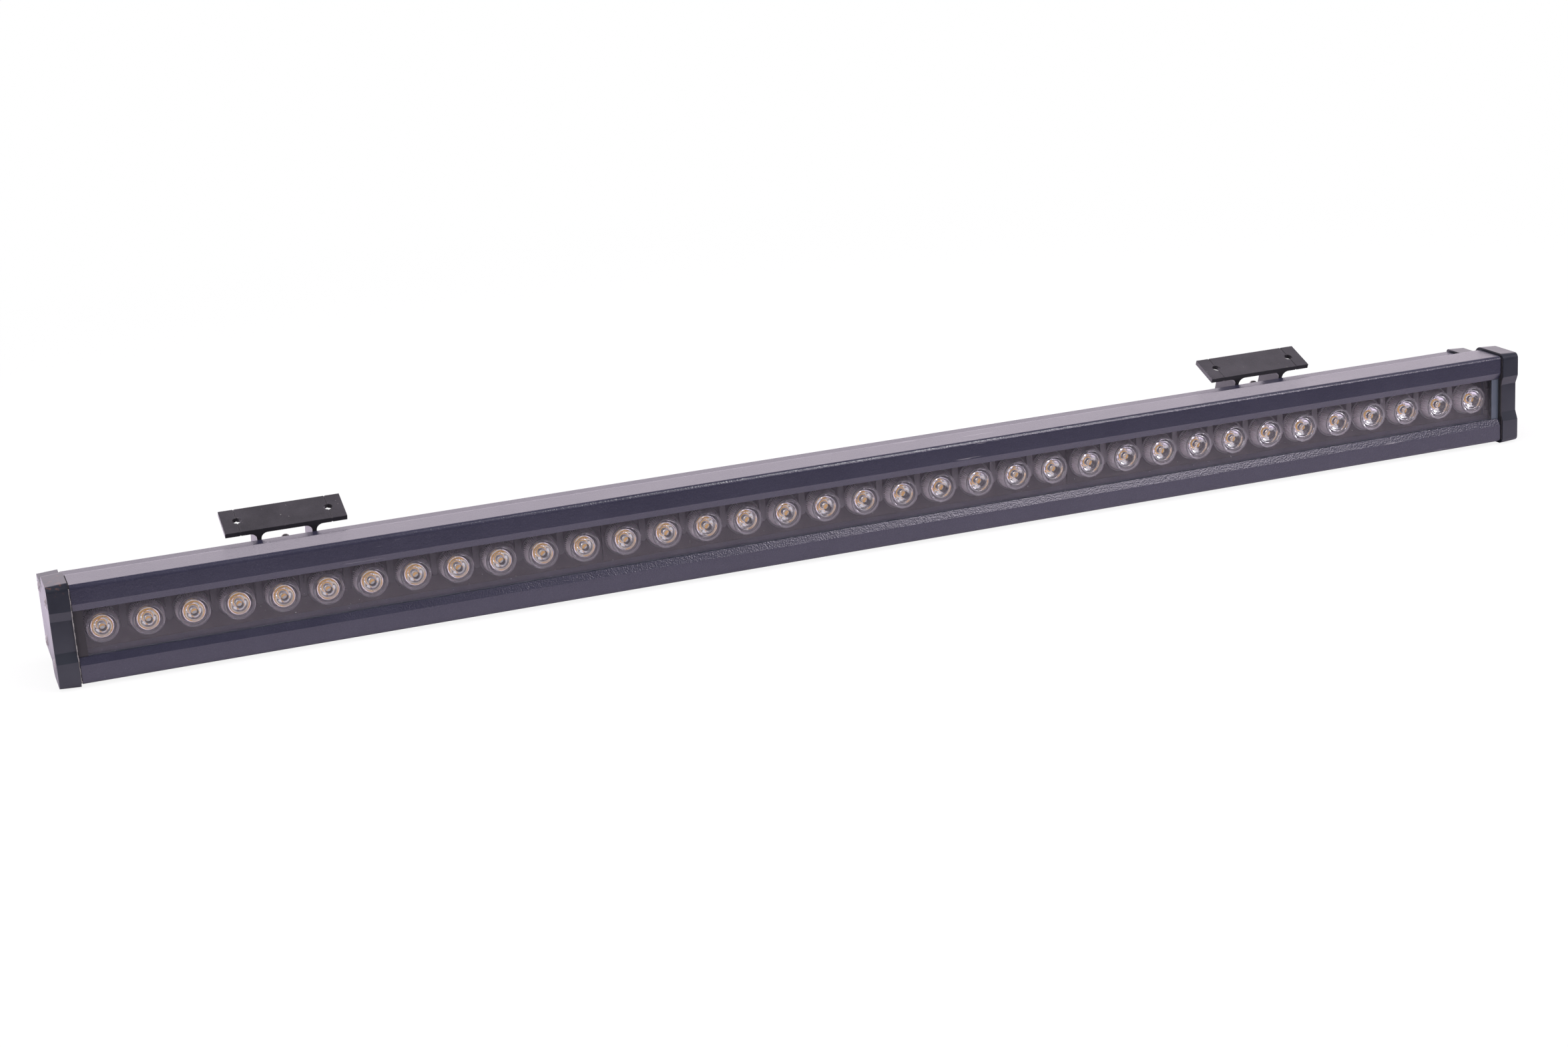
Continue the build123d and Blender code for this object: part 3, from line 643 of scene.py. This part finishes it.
holderForm = {
    "sharpAngle": 30,
    "ribs": 52,
    "frontRadius": 9.3 * mm,
    "backRadius": 10.5 * mm,
    "ribDepth": 1.1 * mm,
    "ribAtFront": 0.1,             # share of the rib's depth at the front
    "skirtRows": 4,
    "wall": 1.2 * mm,
    "tubeWall": 0.4 * mm,
    "clearance": 0.02 * mm,        # from the tube to the skirt
    "front": 1.55 * mm,            # behind the lens's front
    "rim": 0.3 * mm,
    "baseRadius": 11.6 * mm,
    "baseThickness": 0.7 * mm,
    "baseInset": 1.2 * mm,         # its hole, in from the skirt's foot
    "baseEdge": 0.3 * mm,
    "baseRound": (0.08 * mm, 0.1 * mm),
    "baseSegments": 64,
    "tabWidth": 4.4 * mm,          # rounded flat bar between two lamps
    "tabTop": 10.5 * mm,
    "tabFoot": -5.0 * mm,
    "tabThickness": 1.0 * mm,
    # rows from the middle of the front to the middle of the back: share of the half width, and
    # share of the thickness, counted from the front
    "tabRows": [(0, 0), (0.8, 0), (0.95, 0.1), (1, 0.3), (1, 1), (0, 1)],
    "tabSegments": 32,
}

emitterForm = {
    "sharpAngle": 60,
    "segments": 36,
    "domeRows": 7,
    "domeRadius": 2.0 * mm,
    "domeHeight": 0.75 * mm,
    "ringSegments": 48,
    "ringUnderDome": 0.3 * mm,
    "ringRadius": 3.4 * mm,        # flat phosphor round the dome
    "ringHeight": 0.20 * mm,
    "dishToe": (0.5 * mm, 0.15 * mm),         # outwards and up, where the slope begins
    "dishRadius": 4.2 * mm,        # bright metal slope round the phosphor
    "dishRim": 0.3 * mm,
    "dishHeight": 1.1 * mm,
    "chipSegments": 24,
    "chipRadius": 1.0 * mm,
    "chipFoot": 0.7,               # as a share of glintHeight
    "chipRise": 0.25,
    "glintInner": 0.3 * mm,          # painted highlight: a pale glowing crescent over the chip
    "glintWidth": 1.3 * mm,
    "glintLeast": 0.05 * mm,
    "glintTaper": 0.7,
    "glintTurn": 305,                # degrees from +X, towards +Z, to its widest place
    "glintHeight": 1.0 * mm,
    "glintRows": [(0, 0.5), (0, 0.9), (0.5, 1.05), (1, 1), (1, 0.5)],   # shares of width and height
}

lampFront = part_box("lenses_1")[0].y
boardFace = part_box("led_board_1")[0].y
depthToBoard = boardFace - lampFront


def lampPlaces(board):
    low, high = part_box(f"led_board_{board}")
    steps = np.arange(lampRow["count"]) - (lampRow["count"] - 1) / 2
    return np.stack([
        (low.x + high.x) / 2 + steps * lampRow["pitch"], 0 * steps, 0 * steps], axis=-1)


# Three points of a profile that round the front edge of a rim. The middle one is given as how
# far it lies inwards and backwards from the sharp corner.
def roundedEdge(radius, depth, rounding, middle):
    inwards, backwards = middle
    return [(radius - rounding, depth), (radius - inwards, depth + backwards),
            (radius, depth + rounding)]


# A collimator turned round its axis. From the front: a pit whose bottom is a dome, a raised
# face, a thin flange, a short neck, then a cone that bulges as r = top + (foot - top) * t^bulge,
# and over the emitter a tapering well whose top is a dome.
def lensGrid():
    form = lensForm
    arch = np.linspace(0, math.pi / 2, form["archRows"])
    pit = zip(form["pitFoot"] * np.sin(arch), form["pitDepth"] - form["pitCrown"] * np.cos(arch))
    front = [
        (form["pitRadius"] - form["lipIn"], form["lipDepth"]),
        (form["pitRadius"] + form["lipOut"], 0),
        (form["faceRadius"] * form["faceRow"], 0),
        *roundedEdge(form["faceRadius"], 0, form["edgeRound"], form["faceRound"]),
        (form["faceRadius"] + form["stepFlare"], form["faceStep"]),
        *roundedEdge(form["radius"], form["faceStep"], form["edgeRound"], form["flangeRound"]),
        (form["radius"], form["flangeThickness"]),
        (form["neckRadius"], form["flangeThickness"]),
        (form["neckRadius"], form["coneStart"])]
    inwards = np.linspace(0, 1, form["coneRows"])
    coneRadius = (form["coneTop"]
                  + (form["coneFoot"] - form["coneTop"]) * inwards ** form["coneBulge"])
    coneDepth = form["coneStart"] + (form["depth"] - form["coneStart"]) * inwards
    wellFront = form["depth"] - form["wellDepth"]
    foot = [(form["wellRadius"], form["depth"]),
            (form["wellTop"] + form["wellRound"], wellFront + form["wellRound"])]
    back = arch[::-1]
    well = zip(form["wellTop"] * np.sin(back), wellFront + form["wellCrown"] * np.cos(back))
    return turned([*pit, *front, *zip(coneRadius, coneDepth), *foot, *well], form["segments"])


# A skirt whose radius swells backwards and is cut by ribs: r = taper - rib * wave, where the
# wave is square-topped round the axis. Inside it stands a plain tube whose rim covers the
# skirt's front, and both stand on a round base on the board. Tube, rim and base are drawn in the
# darker, shaded copy of the skirt's plastic: painted shade.
def holderGrids():
    form = holderForm
    angle = roundTurn(form["ribs"] * 4)
    wave = np.tile([0.0, 0.0, 1.0, 1.0], form["ribs"])
    rows = np.linspace(0, 1, form["skirtRows"])[:, None]
    front, back = form["front"], depthToBoard - form["baseThickness"]
    rimBack = front + form["rim"]
    ribShare = form["ribAtFront"] + (1 - form["ribAtFront"]) * rows
    radius = (form["frontRadius"] + (form["backRadius"] - form["frontRadius"]) * rows
              - form["ribDepth"] * wave * ribShare)
    inner = form["frontRadius"] - form["wall"]
    between = inner + form["tubeWall"]
    skirt = np.concatenate([
        circle(angle, radius, rimBack + (back - rimBack) * rows),
        [circle(angle, between + form["clearance"], depth) for depth in (back, rimBack)]])
    tube = np.stack([circle(angle, *place) for place in (
        (inner, back), (inner, front), (radius[0], front), (radius[0], rimBack),
        (between, rimBack), (between, back))])
    hole = form["backRadius"] - form["baseInset"]
    base = turned([
        (hole, back), *roundedEdge(form["baseRadius"], back, form["baseEdge"], form["baseRound"]),
        (form["baseRadius"], depthToBoard), (hole, depthToBoard)], form["baseSegments"])
    return skirt, tube, base


# A flat bar with round ends, each row of points the outline drawn in by the round of its edge.
def tabGrid():
    form = holderForm
    half = form["tabWidth"] / 2
    angle = roundTurn(form["tabSegments"])
    middle = np.where(np.sin(angle) >= 0, form["tabTop"] - half, form["tabFoot"] + half)
    centre = (form["tabTop"] + form["tabFoot"]) / 2
    front = depthToBoard - form["tabThickness"]
    return np.stack([np.stack([
        half * inset * np.cos(angle),
        front + form["tabThickness"] * down + 0 * angle,
        np.where(inset == 0, centre, middle + half * inset * np.sin(angle))], axis=-1)
        for inset, down in form["tabRows"]])


# All turned round the lamp's axis, with negative depths in front of the board: a dome of
# phosphor, a flat ring of phosphor round it and a sloping dish of bright metal, all three with a
# painted glow. On the dome stands a small bump, and round it a crescent, both pale and glowing: a
# painted highlight. The crescent at the angle a is as wide as
# width * (0.5 + 0.5 cos(a - turn))^taper + least.
def emitterGrids():
    form = emitterForm
    rise = np.linspace(0, math.pi / 2, form["domeRows"])
    glintTop, ringTop, dishTop = -form["glintHeight"], -form["ringHeight"], -form["dishHeight"]
    dome = turned([
        *zip(form["domeRadius"] * np.sin(rise), -form["domeHeight"] * np.cos(rise)), (0, 0)],
        form["segments"])
    ringInner = form["domeRadius"] - form["ringUnderDome"]
    ring = turned([(ringInner, ringTop), (form["ringRadius"], ringTop), (form["ringRadius"], 0),
                   (ringInner, 0)], form["ringSegments"])
    toeOut, toeUp = form["dishToe"]
    dish = turned([
        (form["ringRadius"], ringTop), (form["ringRadius"] + toeOut, ringTop - toeUp),
        (form["dishRadius"] - form["dishRim"], dishTop), (form["dishRadius"], dishTop),
        (form["dishRadius"], 0), (form["ringRadius"], 0)], form["ringSegments"])
    chipDepth = glintTop * (form["chipFoot"] + form["chipRise"] * np.cos(rise))
    chip = turned([*zip(form["chipRadius"] * np.sin(rise), chipDepth),
                   (0, glintTop * form["chipFoot"])], form["chipSegments"])
    angle = roundTurn(form["segments"])
    lean = 0.5 + 0.5 * np.cos(angle - math.radians(form["glintTurn"]))
    width = form["glintWidth"] * lean ** form["glintTaper"] + form["glintLeast"]
    glint = np.stack([circle(angle, form["glintInner"] + share * width, glintTop * height)
                    for share, height in form["glintRows"]])
    return {"Domes": [dome], "Rings": [ring], "Dishes": [dish], "PaintedGlints": [glint, chip]}


# finish and slot
emitterLooks = {
    "Domes": ("phosphor", "phosphor"),
    "Rings": ("phosphor", "phosphor"),
    "Dishes": ("emitterDish", "stainless"),
    "PaintedGlints": ("emitterPaintedGlint", "stainless"),
}

lens = lensGrid()
skirt, tube, base = holderGrids()
tab = tabGrid()
emitter = emitterGrids()

for board in (1, 2, 3):
    places = lampPlaces(board)
    atFront = places + np.array([0, lampFront, 0])
    lenses = gridMesh(f"lensRow{board}", copies(lens, atFront), finishes["lensAcrylic"],
                      lensForm["sharpAngle"])
    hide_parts(f"lenses_{board}")

    between = atFront[:-1] + np.array([lampRow["pitch"] / 2, 0, 0])
    skirts = gridMesh(f"lensSkirts{board}", copies(skirt, atFront), finishes["skirtPlasticPaintedLit"],
                      holderForm["sharpAngle"])
    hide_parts(f"lens_holders_{board}")
    holders = gridMesh(
        f"holderBases{board}",
        copies(tube, atFront) + copies(base, atFront) + copies(tab, between),
        finishes["holderPlasticPaintedShading"], holderForm["sharpAngle"])

    onBoard = places + np.array([0, boardFace, 0])
    pieces = [lenses, skirts, holders]
    for kind, grids in emitter.items():
        finish, slot = emitterLooks[kind]
        piece = gridMesh(
            f"emitter{kind}{board}", [part for grid in grids for part in copies(grid, onBoard)],
            finishes[finish], emitterForm["sharpAngle"])
        if kind == "Domes":
            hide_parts(f"led_emitters_{board}")
        pieces.append(piece)
    for piece in pieces:
        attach(piece, "lamp")
print("lens rows made")


screwForm = {
    "segments": 96,
    "headRows": 26,
    "sharpAngle": 35,
    "radius": 4.0 * mm,
    "headHeight": 2.2 * mm,
    "headDrop": 0.45,              # share of its height lost at the rim
    "crossReach": 2.3 * mm,
    "crossWidth": 0.55 * mm,
    "crossDepth": 1.3 * mm,
    "crossWall": 0.25 * mm,        # how far the slope of a wall reaches
    "crossEnd": 0.5 * mm,
    "shankRadius": 2.0 * mm,
    "length": 26 * mm,
    "rearLower": 1.8 * mm,         # the rear pair lies this much nearer to the middle
}


# A pan head as a polar grid: height = head * (1 - drop * (r/R)^4), less a cross-shaped pit whose
# walls slope, then the rim and the shank as further rows.
def screwGrid(side):
    form = screwForm
    angle = roundTurn(form["segments"])
    outwards = np.linspace(0, 1, form["headRows"])[:, None]
    radius = outwards * form["radius"]
    across, along = radius * np.cos(angle), radius * np.sin(angle)
    arm = np.minimum(np.abs(across), np.abs(along))
    inArm = np.clip((form["crossWidth"] - arm) / form["crossWall"], 0, 1)
    inReach = np.clip((form["crossReach"] - radius) / form["crossEnd"], 0, 1)
    height = (form["headHeight"] * (1 - form["headDrop"] * outwards ** 4)
              - form["crossDepth"] * inArm * inReach)
    head = np.stack([side * height, across, along], axis=-1)
    ring = np.stack([0 * angle, np.cos(angle), np.sin(angle)], axis=-1)
    tip = np.array([-side * form["length"], 0, 0])
    tail = [ring * form["radius"], ring * form["shankRadius"],
            ring * form["shankRadius"] + tip, 0 * ring + tip]
    return np.concatenate([head, tail])


for side, name in ((-1, "left"), (1, "right")):
    low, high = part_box(f"cap_screws_{name}")
    reach = screwForm["radius"]
    seat = (high if side > 0 else low).x - side * screwForm["headHeight"]
    frontZ = high.z - reach
    rearZ = frontZ - screwForm["rearLower"]
    spots = [(seat, y, up * z) for y, z in ((low.y + reach, frontZ), (high.y - reach, rearZ))
             for up in (1, -1)]
    screws = gridMesh(f"capScrews{name.capitalize()}", copies(screwGrid(side), spots),
                      finishes["screwSteel"], screwForm["sharpAngle"])
    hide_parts(f"cap_screws_{name}")
    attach(screws, "lamp")
print("cap screws made")


beadForm = {
    "steps": 300,
    "segments": 8,
    "sharpAngle": 80,
    "radius": 0.27 * mm,
    "least": 0.16 * mm,
    "offset": 0.30 * mm,           # from the cap's inner face
    "depth": 0.90 * mm,            # behind the cap's front
    "reach": 29.0 * mm,
    "waistFlat": 9.6 * mm,
    "waistEnd": 15.6 * mm,
    "waistSetback": 0.85 * mm,
    "paces": (0.9, 2.3, 4.1, 7.7),     # radians to a millimetre
    "radiusWander": 0.30,
    "placeWander": 0.06 * mm,
    "placeDelay": 40,              # in steps, so that place and radius don't wander together
}


# Sealant pressed out between the caps and the housing: a tube down the cap's front edge. It
# steps back at the waist as the cap does. Its radius and place wander with the sum of
# sin(pace * (height in mm + phase)) / k, where k counts the paces from 1.
def beadGrid(side, capFront, capInner, phase):
    form = beadForm
    height = np.linspace(form["reach"], -form["reach"], form["steps"])
    setback = np.interp(np.abs(height), [form["waistFlat"], form["waistEnd"]],
                        [form["waistSetback"], 0])
    wander = sum(np.sin(pace * (height / mm + phase)) / (1 + k)
                 for k, pace in enumerate(form["paces"]))
    radius = np.clip(form["radius"] * (1 + form["radiusWander"] * wander), form["least"], None)
    radius[[0, -1]] = 0
    offset = form["offset"] + form["placeWander"] * np.roll(wander, form["placeDelay"])
    middle = np.stack([capInner - side * offset, capFront + setback + form["depth"], height],
                      axis=-1)
    turn = roundTurn(form["segments"])
    ring = np.stack([np.cos(turn), np.sin(turn), 0 * turn], axis=-1)
    return middle[:, None] + radius[:, None, None] * ring


for side, name, finish, phase in (
        (-1, "left", "sealantBead", 2), (1, "right", "siliconeInShade", 4)):
    low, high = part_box(f"end_cap_{name}")
    inner = (high if side < 0 else low).x
    bead = gridMesh(f"sealantBead{name.capitalize()}", [beadGrid(side, low.y, inner, phase)],
                    finishes[finish], beadForm["sharpAngle"])
    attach(bead, "lamp")
print("sealant beads made")


studio = {
    "floorHeight": cadBounds[0].z - 0.5 * mm,
    "floorSize": 16.0,
    "floorColour": (0.84, 0.83, 0.84),
    "floorWhite": (0.5, 1.3, 0.88, 1.0),       # share of white at these distances from the lamp
    "glossDark": (0.13, 0.12, 0.15),           # the floor as a gloss sees it
    "glossPale": (0.72, 0.66, 0.76),
    "glossTurn": (-0.24, -0.10),               # from dark to pale, along Y
    "ambient": 0.5,
    "ambientColour": (0.95, 0.93, 1.0, 1),
    "backdrop": (0.97, 0.87, 0.96),
    "backdropStrength": 1.25,
    "backdropSide": (-0.05, 0.35),             # where it fades in, along the direction's Y
    "backdropTop": (0.75, 0.42),               # and along its Z
    "dark": (0.07, 0.065, 0.085),
    "darkRight": (0.26, 0.24, 0.29),
    "rightTurn": (0.1, 0.6),                   # from dark to darkRight, along X
    "throughGlass": (0.70, 0.68, 0.72),
}

lights = {
    "key": {"place": (1.30, -1.70, 1.62), "size": (1.0, 0.75), "power": 19,
            "colour": (1.0, 0.91, 1.0)},
    "top": {"place": (-0.1, -0.25, 2.2), "size": (3.0, 1.2), "power": 60,
            "colour": (1.0, 0.95, 0.98), "inGloss": False},
    "fill": {"place": (-1.5, -1.5, 1.5), "size": (0.9, 0.9), "power": 12,
             "colour": (0.98, 0.98, 1.0)},
    "spark": {"place": (0.95, -0.85, 2.3), "size": (0.45, 0.45), "power": 14,
              "colour": (1.0, 1.0, 1.0), "inDiffuse": False},
}


# A rectangle that faces the origin and that the camera doesn't see.
def areaLight(name, place, size, power, colour, inGloss=True, inDiffuse=True):
    data = bpy.data.lights.new(name, "AREA")
    data.shape = "RECTANGLE"
    data.size, data.size_y = size
    data.energy = power
    data.color = colour
    lamp = addObject(name, data)
    lamp.location = place
    lamp.rotation_euler = (-Vector(place)).to_track_quat("-Z", "Y").to_euler()
    lamp.visible_camera = False
    lamp.visible_glossy = inGloss
    lamp.visible_diffuse = inDiffuse


# The floor is seen white and fades fully to white with distance. A gloss sees it pale close
# to the lamp and darker further in front.
def makeFloor():
    half, height = studio["floorSize"] / 2, studio["floorHeight"]
    corners = [(x * half, y * half, height) for x, y in ((-1, -1), (1, -1), (1, 1), (-1, 1))]
    mesh = bpy.data.meshes.new("floor")
    mesh.from_pydata(corners, [], [(0, 1, 2, 3)])
    floor = addObject("floor", mesh)
    material, tree, place = newMaterial("paleFloor")
    paths = addNode(tree, "ShaderNodeLightPath").outputs
    away = addNode(tree, "ShaderNodeVectorMath", {0: place}, operation="LENGTH").outputs["Value"]
    inGloss = mixColour(tree, spread(tree, axes(tree, place)["Y"], *studio["glossTurn"]),
                        studio["glossDark"], studio["glossPale"])
    shade = mixColour(tree, paths["Is Glossy Ray"], studio["floorColour"], inGloss)
    diffuse = addNode(tree, "ShaderNodeBsdfDiffuse", {"Color": shade})
    white = addNode(tree, "ShaderNodeEmission", {"Color": (1, 1, 1, 1), "Strength": 1.0})
    share = times(tree, paths["Is Camera Ray"], spread(tree, away, *studio["floorWhite"]))
    mixed = mixShaders(tree, share, diffuse, white)
    addNode(tree, "ShaderNodeOutputMaterial", {"Surface": mixed.outputs[0]})
    mesh.materials.append(material)


# The world is a soft even light. The camera sees it white. Gloss and glass see a white
# backdrop low behind the lamp, and a dark room in front and above.
def makeWorld():
    world = bpy.data.worlds.new("studio")
    bpy.context.scene.world = world
    world.use_nodes = True
    tree = world.node_tree
    tree.nodes.clear()
    paths = addNode(tree, "ShaderNodeLightPath").outputs
    along = axes(tree, addNode(tree, "ShaderNodeTexCoord").outputs["Generated"])
    isBackdrop = times(tree, spread(tree, along["Y"], *studio["backdropSide"]),
                       spread(tree, along["Z"], *studio["backdropTop"]))
    inFront = mixColour(tree, spread(tree, along["X"], *studio["rightTurn"]),
                        studio["dark"], studio["darkRight"])
    room = mixColour(tree, paths["Is Transmission Ray"], inFront, studio["throughGlass"])
    reflected = mixColour(tree, isBackdrop, room,
                          [part * studio["backdropStrength"] for part in studio["backdrop"]])
    seesRoom = maths(tree, "MAXIMUM", paths["Is Glossy Ray"], paths["Is Transmission Ray"])
    soft, around, white = (
        addNode(tree, "ShaderNodeBackground", {"Color": colour, "Strength": strength})
        for colour, strength in ((studio["ambientColour"], studio["ambient"]), (reflected, 1.0),
                                 ((1, 1, 1, 1), 1.0)))
    lit = mixShaders(tree, seesRoom, soft, around)
    mixed = mixShaders(tree, paths["Is Camera Ray"], lit, white)
    addNode(tree, "ShaderNodeOutputWorld", {"Surface": mixed.outputs[0]})


makeFloor()
makeWorld()
for name, light in lights.items():
    areaLight(name, **light)
bpy.context.scene.view_settings.view_transform = "Standard"
print("studio set")
